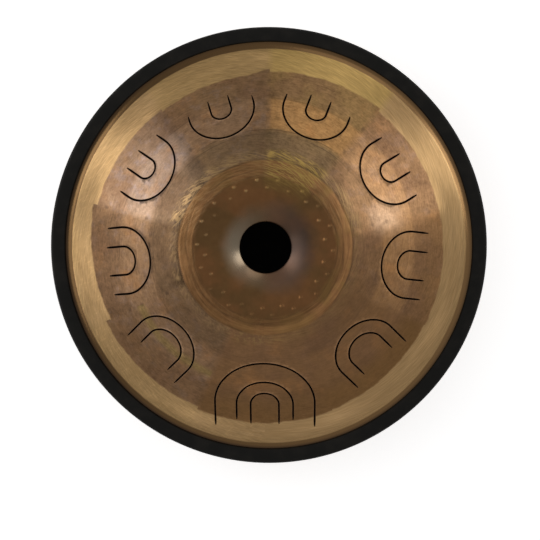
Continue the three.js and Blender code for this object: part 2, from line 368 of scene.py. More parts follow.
def turned_lines(x, y):
    """How far the turned lines are cut, as shares of their depth. They fade in places."""
    radius, angle = np.hypot(x, y), np.arctan2(y, x)
    rng = np.random.default_rng(LINE_SEED)
    cut = np.zeros_like(x)
    for place, share, reach, sway in TURNED_LINES:
        wander, strength = np.zeros_like(x), np.full_like(x, LINE_STRENGTH)
        for waves in LINE_WAVES:
            first, second = rng.uniform(0, math.tau, 2)
            wander += sway * np.sin(waves * angle + first)
            strength += LINE_FADING * np.sin(waves * angle + second)
        line = 1 - smooth_step(np.abs(radius - place - wander), 0, reach)
        cut += share * np.clip(strength, LINE_FAINTEST, 1) * line
    return cut


def port_lip_drop(radius):
    inside = np.clip(PORT_LIP - (radius - PORT_RADIUS), 0, PORT_LIP)
    return PORT_LIP - np.sqrt(PORT_LIP**2 - inside**2)


def slot_chamfer(x, y):
    lowered = np.zeros_like(x)
    for side in SIDES:
        u, s = side.on_side(x, y)
        for slot in side.slots:
            near = (np.abs(u) < slot.half + SLOT_WIDTH) & (s > slot.root - SLOT_WIDTH)
            near &= s < slot.tip + SLOT_WIDTH
            share = np.clip(1 - slot.distance(u[near], s[near]) / CHAMFER, 0, 1)
            lowered[near] = np.maximum(lowered[near], CHAMFER * share)
    return lowered


def skin_height(x, y):
    radius = np.hypot(x, y)
    raised = stud_height(x, y) + nub_height(x, y)
    lowered = port_lip_drop(radius) + slot_chamfer(x, y) + LINE_DEPTH * turned_lines(x, y)
    return base_height(x, y) + raised - lowered


def skin_normals(x, y, step=0.05):
    dx = (base_height(x + step, y) - base_height(x - step, y)) / (2 * step)
    dy = (base_height(x, y + step) - base_height(x, y - step)) / (2 * step)
    normals = np.stack([-dx, -dy, np.ones_like(dx)], axis=1)
    return normals / np.linalg.norm(normals, axis=1)[:, None]


# Plan of the top shell: points, slot edges and hinge lines, joined into triangles


def ring_points(radius, spacing, turn):
    count = round(math.tau * radius / spacing)
    angles = math.tau * (np.arange(count) + turn) / count
    return np.stack([radius * np.cos(angles), radius * np.sin(angles)], axis=1)


def ring_radii():
    """Radii of the plan's rings with the spacing of their points, closest where the skin bends most."""
    lip = [PORT_RADIUS + PORT_LIP * share for share in (0, 0.15, 0.45, 1)]
    dish = np.arange(PORT_RADIUS + 2.6, 65, 2.4)
    studs = np.arange(66, RING_INNER_RADIUS - 2, 0.9)
    ring = np.arange(RING_INNER_RADIUS - 2, CREST_RADIUS - 1.5, 0.5)
    crest = np.arange(CREST_RADIUS - 1.5, CREST_RADIUS + 8, 1.1)
    sides = np.arange(CREST_RADIUS + 11, SHOULDER_RADIUS - 4, 4.6)
    shoulder = np.linspace(SHOULDER_RADIUS - 1.5, FLANGE_INNER_RADIUS + 1, 9)
    flange = (FLANGE_INNER_RADIUS + 4, FLANGE_RADIUS)
    inner_zones = ((lip, 1.2), (dish, 2.2), (studs, 1.1), (ring, 2.4), (crest, 1.8))
    outer_zones = ((sides, 5.0), (shoulder, 4.0), (flange, 4.0))
    return [(radius, spacing) for radii, spacing in inner_zones + outer_zones for radius in radii]


def crease_points():
    """Close rows of points along both sides of every crease."""
    radii = np.arange(CREST_RADIUS, FLANGE_INNER_RADIUS, CREASE_SPACING)
    points = []
    for crease in CREASES:
        for offset in CREASE_ROWS:
            x = radii * math.cos(crease) - offset * math.sin(crease)
            y = radii * math.sin(crease) + offset * math.cos(crease)
            points.append(np.stack([x, y], axis=1))
    return np.concatenate(points)


def clear_of_slots(points):
    keep = np.ones(len(points), bool)
    for side in SIDES:
        u, s = side.on_side(points[:, 0], points[:, 1])
        for slot in side.slots:
            on_root = (np.abs(s - slot.root) < SLOT_MARGIN) & (np.abs(u) < slot.half)
            keep &= (slot.distance(u, s) > SLOT_MARGIN) & ~on_root
    return points[keep]


class Plan:
    """Points and lines in the plan that the triangles have to follow."""

    WELD = 1e-5

    def __init__(self):
        self.points = []
        self.lines = []

    def add_line(self, points, closed):
        first = len(self.points)
        self.points.extend(points)
        last = len(self.points) - 1
        self.lines.extend((i, i + 1) for i in range(first, last))
        if closed:
            self.lines.append((last, first))

    def triangles(self):
        vectors = [Vector((float(x), float(y))) for x, y in self.points]
        result = delaunay_2d_cdt(vectors, self.lines, [], 0, self.WELD)
        return np.array([tuple(p) for p in result[0]]), np.array(result[2])


def top_plan():
    plan = Plan()
    for place, (radius, spacing) in enumerate(ring_radii()):
        on_edge = radius in (PORT_RADIUS, FLANGE_RADIUS)
        if on_edge:
            plan.add_line(ring_points(radius, spacing, 0), closed=True)
        else:
            plan.points.extend(clear_of_slots(ring_points(radius, spacing, place % 2 / 2)))
    plan.points.extend(clear_of_slots(crease_points()))
    for side in SIDES:
        for slot in side.slots:
            for grow in (0, CHAMFER):
                plan.add_line([side.in_plan(u, s) for u, s in slot.outline(grow)], closed=True)
            plan.add_line([side.in_plan(u, s) for u, s in slot.root_line()], closed=False)
    return plan.triangles()


SHELL, GAP = 0, -1


def sort_triangles(points, triangles):
    """The piece of each triangle: the shell, a tongue by its number from 1, or the gap of a slot."""
    x, y = points[triangles].mean(axis=1).T
    piece = np.full(len(triangles), SHELL)
    piece[np.hypot(x, y) < PORT_RADIUS] = GAP
    number = 0
    for side in SIDES:
        u, s = side.on_side(x, y)
        on_side = x * side.cos + y * side.sin > 0
        for slot in side.slots:
            number += 1
            piece[on_side & slot.encloses(u, s)] = number
        for slot in side.slots:
            piece[on_side & (slot.distance(u, s) < 0)] = GAP
    return piece


# Meshes

SHARP_ANGLE = math.radians(35)


def link(name, data):
    obj = bpy.data.objects.new(name, data)
    bpy.context.scene.collection.objects.link(obj)
    return obj


def new_object(name, points, faces):
    """A smooth-shaded mesh object from points in millimetres, with its sharp edges kept."""
    mesh = bpy.data.meshes.new(name)
    mesh.from_pydata((np.asarray(points) * MM).tolist(), [], [tuple(map(int, face)) for face in faces])
    mesh.validate()
    mesh.shade_smooth()
    mesh.set_sharp_from_angle(angle=SHARP_ANGLE)
    return link(name, mesh)


def sheet_faces(triangles, count):
    """Faces of a closed sheet. Its inner skin's points follow its outer skin's count points."""
    edges = np.concatenate([triangles[:, (0, 1)], triangles[:, (1, 2)], triangles[:, (2, 0)]])
    known = set(map(tuple, edges.tolist()))
    walls = [(a, a + count, b + count, b) for a, b in known if (b, a) not in known]
    inner = triangles[:, ::-1] + count
    return triangles.tolist() + inner.tolist() + sorted(walls)


# Finish of each side, by the number of the note on it
# warm, pale, olive and grey: how far the heat turned it to copper, mauve, olive or slate
# middle: how clear its lighter middle is
# tone and upper: how light it is, and its upper part against the rest
# brushed: how far its crest is brushed
FIELDS = ("warm", "pale", "olive", "grey", "middle", "tone", "upper", "brushed")
FINISHES = {
    1: (0.15, 0.0, 0.0, 0.0, 0.4, 1.02, 1.15, 0.3),
    2: (0.3, 0.0, 0.0, 0.05, 0.3, 1.03, 1.0, 0.15),
    3: (0.1, 0.25, 0.1, 0.3, 0.8, 1.02, 0.95, 0.22),
    4: (0.65, 0.1, 0.0, 0.05, 0.7, 1.2, 0.9, 0.2),
    5: (0.45, 0.32, 0.0, 0.4, 0.9, 0.62, 0.74, 0.32),
    6: (1.0, 0.25, 0.0, 0.25, 1.0, 0.92, 0.96, 0.7),
    7: (0.45, 0.9, 0.0, 0.55, 0.8, 0.81, 0.7, 0.8),
    8: (0.85, 0.0, 0.8, 0.9, 1.0, 0.9, 0.97, 1.0),
    9: (0.15, 0.32, 0.25, 0.6, 0.8, 1.08, 0.98, 0.4),
}

# Where each side's sanded band ends, as radii at its clockwise and anticlockwise creases
BANDS = {
    1: (214.0, 213.0),
    2: (211.5, 210.3),
    3: (215.7, 210.8),
    4: (211.5, 210.8),
    5: (216.0, 207.8),
    6: (210.3, 209.5),
    7: (208.0, 210.5),
    8: (212.8, 209.8),
    9: (207.0, 205.0),
}

# How much lighter a side grows towards its anticlockwise crease: a painted highlight, where a window's
# reflection spreads across the crease
WINDOW_SHEEN_LEANS = {4: 0.14, 5: -0.06, 6: 0.08, 9: 0.14}

# How clear the light arc across a side is
RUBBED = {3: 1.0}

# How far the edge of a side's band turns outwards at its clockwise crease
CORNERS = {9: 6.0}
CORNER_REACH = 26.0

TINT_BLEND = 5.0
# How far studs and nubs are lightened, partly as wear and partly as a painted highlight
STUD_WEAR_AND_SHEEN = 0.8
NUB_WEAR_AND_SHEEN = 0.95


def by_side(table):
    """The value of every side in a table by notes, in the order of the sides."""
    notes = [int(side.slots[0].body.split("_")[1]) for side in SIDES]
    return np.array([table.get(note, 0.0) for note in notes])


def corner_sides(mesh):
    """The x and y of every face corner in millimetres, and the side that its face lies on."""
    totals = column(mesh.polygons, "loop_total")
    face = np.repeat(np.arange(len(totals)), totals)
    x, y, _ = mesh_points(mesh)[column(mesh.loops, "vertex_index")].T
    side = side_of(np.bincount(face, x) / totals, np.bincount(face, y) / totals)
    return x, y, side[face]


def side_tints(side, share, crease_gap):
    """The fields of a side, mixed with its neighbour's near the crease between them."""
    at_start = share < 0.5
    neighbour = np.where(at_start, side - 1, side + 1) % len(SIDES)
    own = 0.5 + 0.5 * smooth_step(crease_gap, 0, TINT_BLEND)
    tints = {}
    for field, amounts in zip(FIELDS, by_side(FINISHES).T):
        tints[field] = own * amounts[side] + (1 - own) * amounts[neighbour]
    # Painted highlight: the tone grows lighter towards the crease that a window's reflection spreads across
    window_sheen = by_side(WINDOW_SHEEN_LEANS)
    tints["tone"] += own * window_sheen[side] * (2 * share - 1)
    tints["tone"] += (1 - own) * window_sheen[neighbour] * np.where(at_start, 1, -1)
    return tints


def side_attributes(obj):
    """Gives every face corner its side's finish and what the material needs of its place."""
    x, y, side = corner_sides(obj.data)
    radius = np.hypot(x, y)
    before = CREASES[side - 1]
    span = (CREASES[side] - before) % math.tau
    from_before = (np.arctan2(y, x) - before + math.pi) % math.tau - math.pi
    share = np.clip(from_before / span, 0, 1)
    crease_gap = radius * np.sin(np.minimum(share, 1 - share) * span)
    start, end = by_side(BANDS)[side].T
    corner = by_side(CORNERS)[side] * smooth_step(radius * np.sin(share * span), CORNER_REACH, 0)
    stud, nub = stud_height(x, y) / STUD_HEIGHT, nub_height(x, y) / NUB_HEIGHT
    values = {
        "crease_gap": crease_gap,
        "rubbed": by_side(RUBBED)[side],
        "band_edge": start + (end - start) * share + corner,
        "wear_and_sheen": STUD_WEAR_AND_SHEEN * stud + NUB_WEAR_AND_SHEEN * nub,
        "line_cut": turned_lines(x, y),
        "slot_edge": slot_chamfer(x, y) / CHAMFER,
        **side_tints(side, share, crease_gap),
    }
    for name, value in values.items():
        attribute = obj.data.attributes.new(name, "FLOAT", "CORNER")
        attribute.data.foreach_set("value", value.astype(np.float32))


def top_pieces():
    points, triangles = top_plan()
    piece = sort_triangles(points, triangles)
    x, y = points.T
    outer = np.stack([x, y, skin_height(x, y)], axis=1)
    inner = np.stack([x, y, base_height(x, y)], axis=1) - SHEET * skin_normals(x, y)
    slots = [slot for side in SIDES for slot in side.slots]
    made = []
    for number, slot in enumerate([None, *slots]):
        mine = triangles[piece == number]
        used, renumbered = np.unique(mine, return_inverse=True)
        faces = sheet_faces(renumbered.reshape(-1, 3), len(used))
        name = "top_shell_steel" if slot is None else slot.body + "_steel"
        obj = new_object(name, np.concatenate([outer[used], inner[used]]), faces)
        side_attributes(obj)
        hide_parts("top_shell" if slot is None else slot.node)
        if slot is None:
            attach(obj, "shell")
        else:
            start, end = slot.side.in_space(0, slot.root), slot.side.in_space(0, slot.root + ROOT_BEND)
            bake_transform(obj)
        made.append(obj)
    return made


# Turned pieces


def turn_profile(profile, steps, closed):
    """Points and faces of a profile turned about Z, joined to its start if closed."""
    points, rows = [], []
    for radius, height in profile:
        first = len(points)
        if radius == 0:
            points.append((0, 0, height))
            rows.append([first] * steps)
            continue
        angles = math.tau * np.arange(steps) / steps
        points.extend((radius * math.cos(a), radius * math.sin(a), height) for a in angles)
        rows.append(list(range(first, first + steps)))
    pairs = list(zip(rows, rows[1:]))
    if closed:
        pairs.append((rows[-1], rows[0]))
    faces = []
    for low, high in pairs:
        for i in range(steps):
            j = (i + 1) % steps
            corners = [low[i], low[j], high[j], high[i]]
            faces.append(list(dict.fromkeys(corners)))
    return points, faces


def arc(centre, radii, first, last, steps):
    angles = np.radians(np.linspace(first, last, steps + 1))
    return [(centre[0] + radii[0] * math.cos(a), centre[1] + radii[1] * math.sin(a)) for a in angles]


def quarter(x, z, radius, first, steps):
    """A quarter of a circle about x and z, anticlockwise from its first angle."""
    return arc((x, z), (radius, radius), first, first + 90, steps)


def moved_left(profile, distance):
    """The same line moved to its left, with its corners kept square."""
    line = np.array(profile)
    along = np.diff(line, axis=0)
    along /= np.linalg.norm(along, axis=1)[:, None]
    left = np.stack([-along[:, 1], along[:, 0]], axis=1)
    before, after = np.vstack([left[:1], left]), np.vstack([left, left[-1:]])
    mitre = before + after
    mitre /= np.linalg.norm(mitre, axis=1)[:, None]
    return line + mitre * (distance / (mitre * after).sum(axis=1))[:, None]


# Rubber trim over the rim, rounded at its outer corners and along its lips

TRIM_STEPS = 240
TRIM_ROUND = 3.6
TRIM_ROUND_STEPS = 8
TRIM_LIP_ROUND = 1.8
TRIM_LIP_STEPS = 4
SAME_PLACE = 0.01


def trim_piece():
    low, high = (np.array(corner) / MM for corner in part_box("rim_trim"))
    points = node_points("rim_trim")
    radii = np.hypot(points[:, 0], points[:, 1])
    outer, lip = radii.max(), radii.min()
    cavity = np.unique(points[np.abs(radii - lip) < SAME_PLACE, 2].round(2))
    floor, roof = cavity[1], cavity[2]
    bottom, top = low[2], high[2]
    slack = np.unique(radii[np.abs(points[:, 2] - roof) < SAME_PLACE].round(2))[-1]
    lip_x, outer_x = lip + TRIM_LIP_ROUND, outer - TRIM_ROUND
    profile = [(lip, floor)]
    profile += quarter(lip_x, bottom + TRIM_LIP_ROUND, TRIM_LIP_ROUND, 180, TRIM_LIP_STEPS)
    profile += quarter(outer_x, bottom + TRIM_ROUND, TRIM_ROUND, -90, TRIM_ROUND_STEPS)
    profile += quarter(outer_x, top - TRIM_ROUND, TRIM_ROUND, 0, TRIM_ROUND_STEPS)
    profile += quarter(lip_x, top - TRIM_LIP_ROUND, TRIM_LIP_ROUND, 90, TRIM_LIP_STEPS)
    profile += [(lip, roof), (slack, roof), (slack, floor)]
    trim = new_object("rim_trim_rubber", *turn_profile(profile, TRIM_STEPS, closed=True))
    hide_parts("rim_trim")
    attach(trim, "shell")
    return trim


# Feet pushed through holes in the bowl

FEET = sorted(node for node in frame["nodes"] if node.startswith("foot_"))
FOOT_STEPS = 48
FOOT_HOLE_RADIUS = 4.0
FOOT_SOLE_RADIUS = 11.0
FOOT_ROUND = 1.4
FOOT_ROUND_STEPS = 5
FOOT_GAP = 0.3
FOOT_BARB_RADIUS = 5.6
FOOT_BARB_TIP_RADIUS = 2.5
FOOT_BARB_HEIGHT = 5.0


def foot_place(foot):
    low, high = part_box(foot)
    return np.array(((low.x + high.x) / 2, (low.y + high.y) / 2, 0)) / MM


def foot_piece(foot):
    low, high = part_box(foot)
    top_radius = (high.x - low.x) / 2 / MM
    barb_z = high.z / MM - FOOT_BARB_HEIGHT
    seat_z = barb_z - SHEET - 2 * FOOT_GAP
    stem = FOOT_HOLE_RADIUS - FOOT_GAP
    profile = [(0, 0)]
    profile += quarter(FOOT_SOLE_RADIUS - FOOT_ROUND, FOOT_ROUND, FOOT_ROUND, -90, FOOT_ROUND_STEPS)
    profile += quarter(top_radius - FOOT_ROUND, seat_z - FOOT_ROUND, FOOT_ROUND, 0, FOOT_ROUND_STEPS)
    profile += [(stem, seat_z), (stem, barb_z), (FOOT_BARB_RADIUS, barb_z)]
    profile += [(FOOT_BARB_TIP_RADIUS, barb_z + FOOT_BARB_HEIGHT), (0, barb_z + FOOT_BARB_HEIGHT)]
    points, faces = turn_profile(profile, FOOT_STEPS, closed=False)
    piece = new_object(foot + "_rubber", np.array(points) + foot_place(foot), faces)
    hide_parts(foot)
    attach(piece, "shell")
    return piece


# Bowl under the rim

BOWL_STEPS = 200
BOWL_SIDE_STEPS = 40
BOWL_BASE_RADIUS = 110.0
BOWL_BASE_RING = BOWL_BASE_RADIUS / 2
BOWL_NECK = 4.0
BOWL_NECK_STEPS = 6
DRILL_STEPS = 32
DRILL_REACH = 3 * SHEET


def cut_foot_holes(bowl, base_z):
    low, high = base_z - DRILL_REACH, base_z + DRILL_REACH
    drill = [(0, low), (FOOT_HOLE_RADIUS, low), (FOOT_HOLE_RADIUS, high), (0, high)]
    for foot in FEET:
        points, faces = turn_profile(drill, DRILL_STEPS, closed=False)
        cutter = new_object("drill", np.array(points) + foot_place(foot), faces)
        cut = bowl.modifiers.new("hole", "BOOLEAN")
        cut.object = cutter
        cut.solver = "EXACT"
        depsgraph = bpy.context.evaluated_depsgraph_get()
        holed = bpy.data.meshes.new_from_object(bowl.evaluated_get(depsgraph))
        bowl.modifiers.clear()
        bowl.data = holed
        bpy.data.objects.remove(cutter)


def bowl_piece():
    base_z, rim_z = (corner.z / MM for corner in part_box("bottom_shell"))
    under_z = rim_z - SHEET
    neck_z = under_z - BOWL_NECK
    side_reach = FLANGE_INNER_RADIUS - BOWL_NECK - BOWL_BASE_RADIUS
    outer = [(0, base_z), (BOWL_BASE_RING, base_z)]
    outer += arc((BOWL_BASE_RADIUS, neck_z), (side_reach, neck_z - base_z), -90, 0, BOWL_SIDE_STEPS)
    outer += arc((FLANGE_INNER_RADIUS, neck_z), (BOWL_NECK, BOWL_NECK), 180, 90, BOWL_NECK_STEPS)[1:]
    outer += [(FLANGE_RADIUS, under_z)]
    inner = moved_left(outer, SHEET)[::-1]
    inner[-1][0] = 0
    bowl = new_object("bottom_shell_steel", *turn_profile([*outer, *inner], BOWL_STEPS, closed=False))
    cut_foot_holes(bowl, base_z)
    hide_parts("bottom_shell")
    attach(bowl, "shell")
    return bowl


# Materials


class Value:
    """A number or colour in a material's nodes, with the sums and steps that its patterns use."""

    def __init__(self, shader, socket):
        self.shader, self.socket = shader, socket

    def math(self, operation, *others, clamp=False):
        return self.shader.math(operation, self, *others, clamp=clamp)

    def __add__(self, other):
        return self.math("ADD", other)

    def __sub__(self, other):
        return self.math("SUBTRACT", other)

    def __mul__(self, other):
        return self.math("MULTIPLY", other)

    def __truediv__(self, other):
        return self.math("DIVIDE", other)

    def line(self, low, high):
        """Goes from low to high as the value goes from 0 to 1."""
        return self * (high - low) + low

    def step(self, low, high):
        """A smooth step from 0 at low to 1 at high, which falls if low is above high."""
        ends = (min(low, high), max(low, high))
        to = (float(low > high), float(low < high))
        return self.shader.add("ShaderNodeMapRange", self, *ends, *to, interpolation_type="SMOOTHSTEP")

    def ring(self, low, high, soft):
        """1 between low and high, with soft edges."""
        return self.step(low - soft, low + soft) * self.step(high + soft, high - soft)


class Shader:
    """A material's nodes, with places in millimetres."""

    def __init__(self, name):
        self.material = bpy.data.materials.new(name)
        self.material.use_nodes = True
        self.tree = self.material.node_tree
        self.surface = self.tree.nodes["Principled BSDF"]
        self.point = self.shade(self.add("ShaderNodeTexCoord", output="Object"), 1 / MM)
        self.x = self.add("ShaderNodeSeparateXYZ", self.point, output="X")
        self.y = self.add("ShaderNodeSeparateXYZ", self.point, output="Y")
        self.radius = self.length(self.x, self.y)

    def feed(self, socket, value):
        if isinstance(value, Value):
            self.tree.links.new(value.socket, socket)
        elif socket.type == "RGBA":
            socket.default_value = (*value, 1.0)
        else:
            socket.default_value = value

    def add(self, kind, *values, inputs=(), output=0, **settings):
        """The output of a new node. The values feed its first sockets, and inputs those of their key."""
        node = self.tree.nodes.new(kind)
        for key, value in settings.items():
            setattr(node, key, value)
        for key, value in [*enumerate(values), *dict(inputs).items()]:
            self.feed(node.inputs[key], value)
        return Value(self, node.outputs[output])

    def set(self, **values):
        for name, value in values.items():
            self.feed(self.surface.inputs[name.replace("_", " ")], value)

    def math(self, operation, *values, clamp=False):
        return self.add("ShaderNodeMath", *values, operation=operation, use_clamp=clamp)

    def vector(self, *values):
        return self.add("ShaderNodeCombineXYZ", *values)

    def length(self, a, b):
        """The length of the diagonal of two distances."""
        return self.add("ShaderNodeVectorMath", self.vector(a, b, 0.0), output="Value", operation="LENGTH")

    def shade(self, colour, factor):
        """The colour times a number."""
        return self.add("ShaderNodeVectorMath", colour, inputs={"Scale": factor}, operation="SCALE")

    def mix(self, share, a, b):
        """From colour a to colour b, which go to the sockets that the mix node keeps for colours."""
        return self.add("ShaderNodeMix", inputs={"Factor": share, 6: a, 7: b}, output=2, data_type="RGBA")

    def __getitem__(self, name):
        """The face corners' value of that name."""
        return self.add("ShaderNodeAttribute", output="Fac", attribute_name=name)

    def noise(self, size, detail=2.0, rough=0.5, shift=0.0, place=None):
        """Cloudy values about 0.5 whose patches are about size millimetres across, moved by shift."""
        place = place or self.point
        if shift:
            place = self.add("ShaderNodeVectorMath", place, (shift, shift, shift), operation="ADD")
        inputs = {"Scale": 1 / size, "Detail": detail, "Roughness": rough}
        return self.add("ShaderNodeTexNoise", place, inputs=inputs, output="Fac")

    def swing(self, size, reach):
        """Cloudy values between about minus half and half of reach."""
        return (self.noise(size, 3, 0.6) - 0.5) * reach

    def wavy_radius(self, size, reach):
        """The distance from the axis, made uneven so that edges wander."""
        return self.radius + self.swing(size, reach)

    def round_place(self, turn):
        """A place whose patterns run round the axis, longer where turn is smaller."""
        scale = self.math("DIVIDE", turn, self.radius)
        return self.vector(self.x * scale, self.y * scale, self.radius)

    def strokes(self, length, width, tilt, shift=0.0):
        """Cloudy values in marks that run round the axis, tilted off their circles by that share."""
        around = self.x.math("ARCTAN2", self.y) * self.radius
        across = self.radius + around * tilt
        place = self.vector(around * (1 / length), across * (1 / width), shift)
        return self.noise(1.0, 3, 0.6, place=place)

    def facing(self, azimuth, reach):
        """A factor that swings by reach about 1 round the axis, largest at that azimuth."""
        turn = math.radians(azimuth)
        along = self.x * math.cos(turn) + self.y * math.sin(turn)
        return (along / self.radius).line(1.0, 1.0 + reach)

    def right_half(self):
        """From 0 on the left of the axis to 1 on its right."""
        return (self.x / self.radius).step(-0.3, 0.6)

    def bump(self, height, distance, strength):
        """A normal for relief of that height in millimetres."""
        inputs = {"Height": height, "Distance": distance * MM, "Strength": strength}
        return self.add("ShaderNodeBump", inputs=inputs, output="Normal")


# Colours of the heat-tinted steel
GOLD_LIGHT = (0.49, 0.31, 0.145)
GOLD_DARK = (0.4, 0.245, 0.105)
GOLD_OLIVE = (0.48, 0.32, 0.09)
UMBER = (0.2, 0.106, 0.05)
AMBER = (0.405, 0.21, 0.079)
MAUVE = (0.34, 0.235, 0.17)
LILAC = (0.31, 0.235, 0.215)
OLIVE = (0.29, 0.19, 0.072)
EMBER = (0.42, 0.19, 0.065)
RUST = (0.205, 0.106, 0.035)
PLUM = (0.19, 0.1, 0.055)
SLATE = (0.19, 0.122, 0.064)
# Dark for the heat marks, and for painted shade in the turned grooves, along the slot edges and beside the
# trim
SOOT_AND_SHADE = (0.05, 0.03, 0.022)
# Colour of the painted pink highlights where the windows reflect
PINK_HIGHLIGHT = (0.56, 0.365, 0.225)
CREST_TAN = (0.46, 0.29, 0.135)
CREST_GOLD = (0.42, 0.275, 0.07)
RING_LIGHT = (0.315, 0.157, 0.062)
RING_DARK = (0.18, 0.086, 0.036)
RING_GOLD = (0.245, 0.142, 0.047)
DISH_RED = (0.195, 0.091, 0.036)
DISH_OLIVE = (0.15, 0.08, 0.032)
DISH_GOLD = (0.27, 0.165, 0.05)
# Grey of the unoxidised metal round the port, also used for painted highlights there, and the pink of the
# painted highlight right of the port
BARE_AND_GLEAM = (0.148, 0.117, 0.082)
ROSE_GLEAM = (0.16, 0.112, 0.096)
SKIRT_BROWN = (0.166, 0.095, 0.041)

# Colours of the other materials
RUBBER_BLACK = (0.005, 0.0045, 0.0035)
RUBBER_DUST = (0.0105, 0.009, 0.007)
# Near-black of the painted shade inside the shells
CHAMBER_SHADE_DARK = (0.009, 0.008, 0.007)
CHAMBER_SHADE_LIGHT = (0.022, 0.019, 0.016)
GLUE_DARK = (0.02, 0.018, 0.016)
GLUE_LIGHT = (0.045, 0.04, 0.035)
FLOOR_GREY = (0.8, 0.8, 0.8)
WHITE = (1.0, 1.0, 1.0)

# Radii between which a part of the finish has its full strength, with the softness of its ends
MIDDLE_ZONE = (139, 176, 3.5)
RUBBED_ZONE = (161, 170, 3.5)
SPOT_ZONE = (120, 207, 1.0)

# Radii where a part of the finish begins and where it has its full strength
UPPER_EDGE = (141, 133)
CLIMB_EDGE = (156, 122)
RUST_EDGE = (168, 200)
CREST_EDGE = (119, 109)
RING_EDGE = (104.4, 101.4)
RING_HALVES = (90.5, 94.5)
DISH_EDGE = (85.0, 81.0)
WASH_EDGE = (60, 82)
# Where the grey and the painted highlights round the port begin and where they are full
BARE_AND_GLEAM_EDGE = (57, 36)
PORT_FINISH_EDGE = (52, 34)
RIM_FINISH_EDGE = (237, 239)
SKIRT_EDGE = (237.4, 239.0)
# Where the painted contact shadow beside the trim begins and where it is full
TRIM_SHADOW_EDGE = (242.6, 247.6)

# Radii of the dark arcs where the heat stopped, and of the spots along the creases
HEAT_LINES = (133.5, 138.5, 176.5)
SPOT_START = 119.5
SPOT_STEP = 17.5

# Painted pink highlights where the windows' reflections fall across the creases: azimuth, radius, reach and
# share
PINK_HIGHLIGHT_PATCHES = ((15.0, 146.0, 30.0, 0.75), (164.0, 154.0, 32.0, 0.2))


def painted_pink_highlight(sh):
    """How far the painted pink highlights cover a place, with uneven edges."""
    highlight_share = 0.0
    for azimuth, radius, reach, share in PINK_HIGHLIGHT_PATCHES:
        turn = math.radians(azimuth)
        away = sh.length(sh.x - radius * math.cos(turn), sh.y - radius * math.sin(turn))
        highlight_share = (away + sh.swing(18, 16.0)).step(reach, 0.0) * share + highlight_share
    return highlight_share


def oxide_tints(sh, middle):
    """Copper, mauve and olive, with clouds of lilac, ember and plum."""
    pale = sh["pale"]
    warmth = sh["warm"] * middle.line(0.35, 1.0) + middle * 0.2
    tint = sh.mix(warmth.math("MINIMUM", 1.0), UMBER, AMBER)
    tint = sh.mix(pale * middle.line(0.55, 1.0), tint, MAUVE)
    tint = sh.mix(sh["olive"] * middle.line(0.6, 0.2), tint, OLIVE)
    bloom = sh.noise(17, 4, 0.65, shift=900).step(0.5, 0.66)
    tint = sh.mix(bloom * (pale * 0.6), tint, LILAC)
    embers = sh.noise(30, 4, 0.6, shift=300).step(0.5, 0.74)
    tint = sh.mix(embers * middle.line(0.25, 0.5), tint, EMBER)
    plum = sh.noise(45, 3, shift=-400).step(0.42, 0.66)
    return sh.mix(plum * middle.line(0.5, 0.1), tint, PLUM)


def mottling(sh):
    """A factor for patches and grain, stronger on sides with a clear middle."""
    patches = sh.noise(7, 3, 0.65) + sh.noise(17, 2, shift=1100) * 0.6
    grain = sh.strokes(9, 1.7, 0.1, 130) + sh.noise(2.3, 2) * 0.6
    return (patches + grain - 1.6) * sh["middle"].line(0.15, 0.9) + 1.0


def heat_colours(sh):
    """The oxide colours of the sides, lightest half way up."""
    place = sh.radius + (sh.swing(60, 10.0) + sh.swing(9, 4.0))
    tint = oxide_tints(sh, place.ring(*MIDDLE_ZONE) * sh["middle"])
    slate = sh["grey"] * sh.noise(40, 3, shift=700).line(0.3, 1.3)
    tint = sh.mix(slate.math("MULTIPLY", place.step(*UPPER_EDGE), clamp=True), tint, SLATE)
    tint = sh.mix(place.ring(*RUBBED_ZONE) * sh["rubbed"] * 0.8, tint, OLIVE)
    # Painted highlight: pink where the windows reflect on the sides
    tint = sh.mix(painted_pink_highlight(sh), tint, PINK_HIGHLIGHT)
    tint = sh.mix(place.step(*RUST_EDGE) * sh["middle"].line(0.9, 0.0), tint, RUST)
    climb = sh.wavy_radius(40, 10.0).step(*CLIMB_EDGE)
    tone = climb * (sh["upper"] - 1.0) + 1.0
    return sh.shade(tint, tone * mottling(sh))


def turned_arcs(sh):
    """Thin light and dark arcs round the sides, as a factor."""
    arcs = sh.strokes(120, 1.6, 0.0, 50)
    uneven = arcs.step(0.58, 0.72) * 0.16 - arcs.step(0.4, 0.28) * 0.22
    return uneven * sh["middle"] + 1.0


def heat_lines(sh):
    """Broken dark arcs where the heat stopped."""
    lines = 0.0
    place = sh.wavy_radius(70, 3.0)
    for radius in HEAT_LINES:
        broken = sh.noise(45, 2, shift=10 * radius).step(0.42, 0.6)
        lines = place.ring(radius - 0.4, radius + 0.4, 0.5) * broken + lines
    return lines


def crease_spots(sh):
    """Dark spots at even steps along the creases, some of them faint."""
    steps = (sh.radius - SPOT_START) * (1 / SPOT_STEP)
    along = (steps.math("FRACT") - 0.5) * SPOT_STEP
    away = sh.length(along, sh["crease_gap"])
    spots = away.step(3.8, 0.6) * sh.radius.ring(*SPOT_ZONE)
    return spots * sh["middle"].step(0.4, 0.75) * sh.noise(20, 1).step(0.4, 0.62)


def brushed_hairs(sh, shift):
    """Fine strokes that cross at a small angle."""
    rising = sh.strokes(17, 1.7, 0.3, shift).step(0.46, 0.6)
    falling = sh.strokes(13, 1.5, -0.12, shift + 5).step(0.48, 0.64)
    return rising.math("MAXIMUM", falling * 0.6)


def brushed_crest(sh, tint, crest_colour):
    hairs = brushed_hairs(sh, 0) * 1.1 * sh["brushed"]
    return sh.mix(sh.wavy_radius(14, 7.0).step(*CREST_EDGE) * hairs, tint, crest_colour)


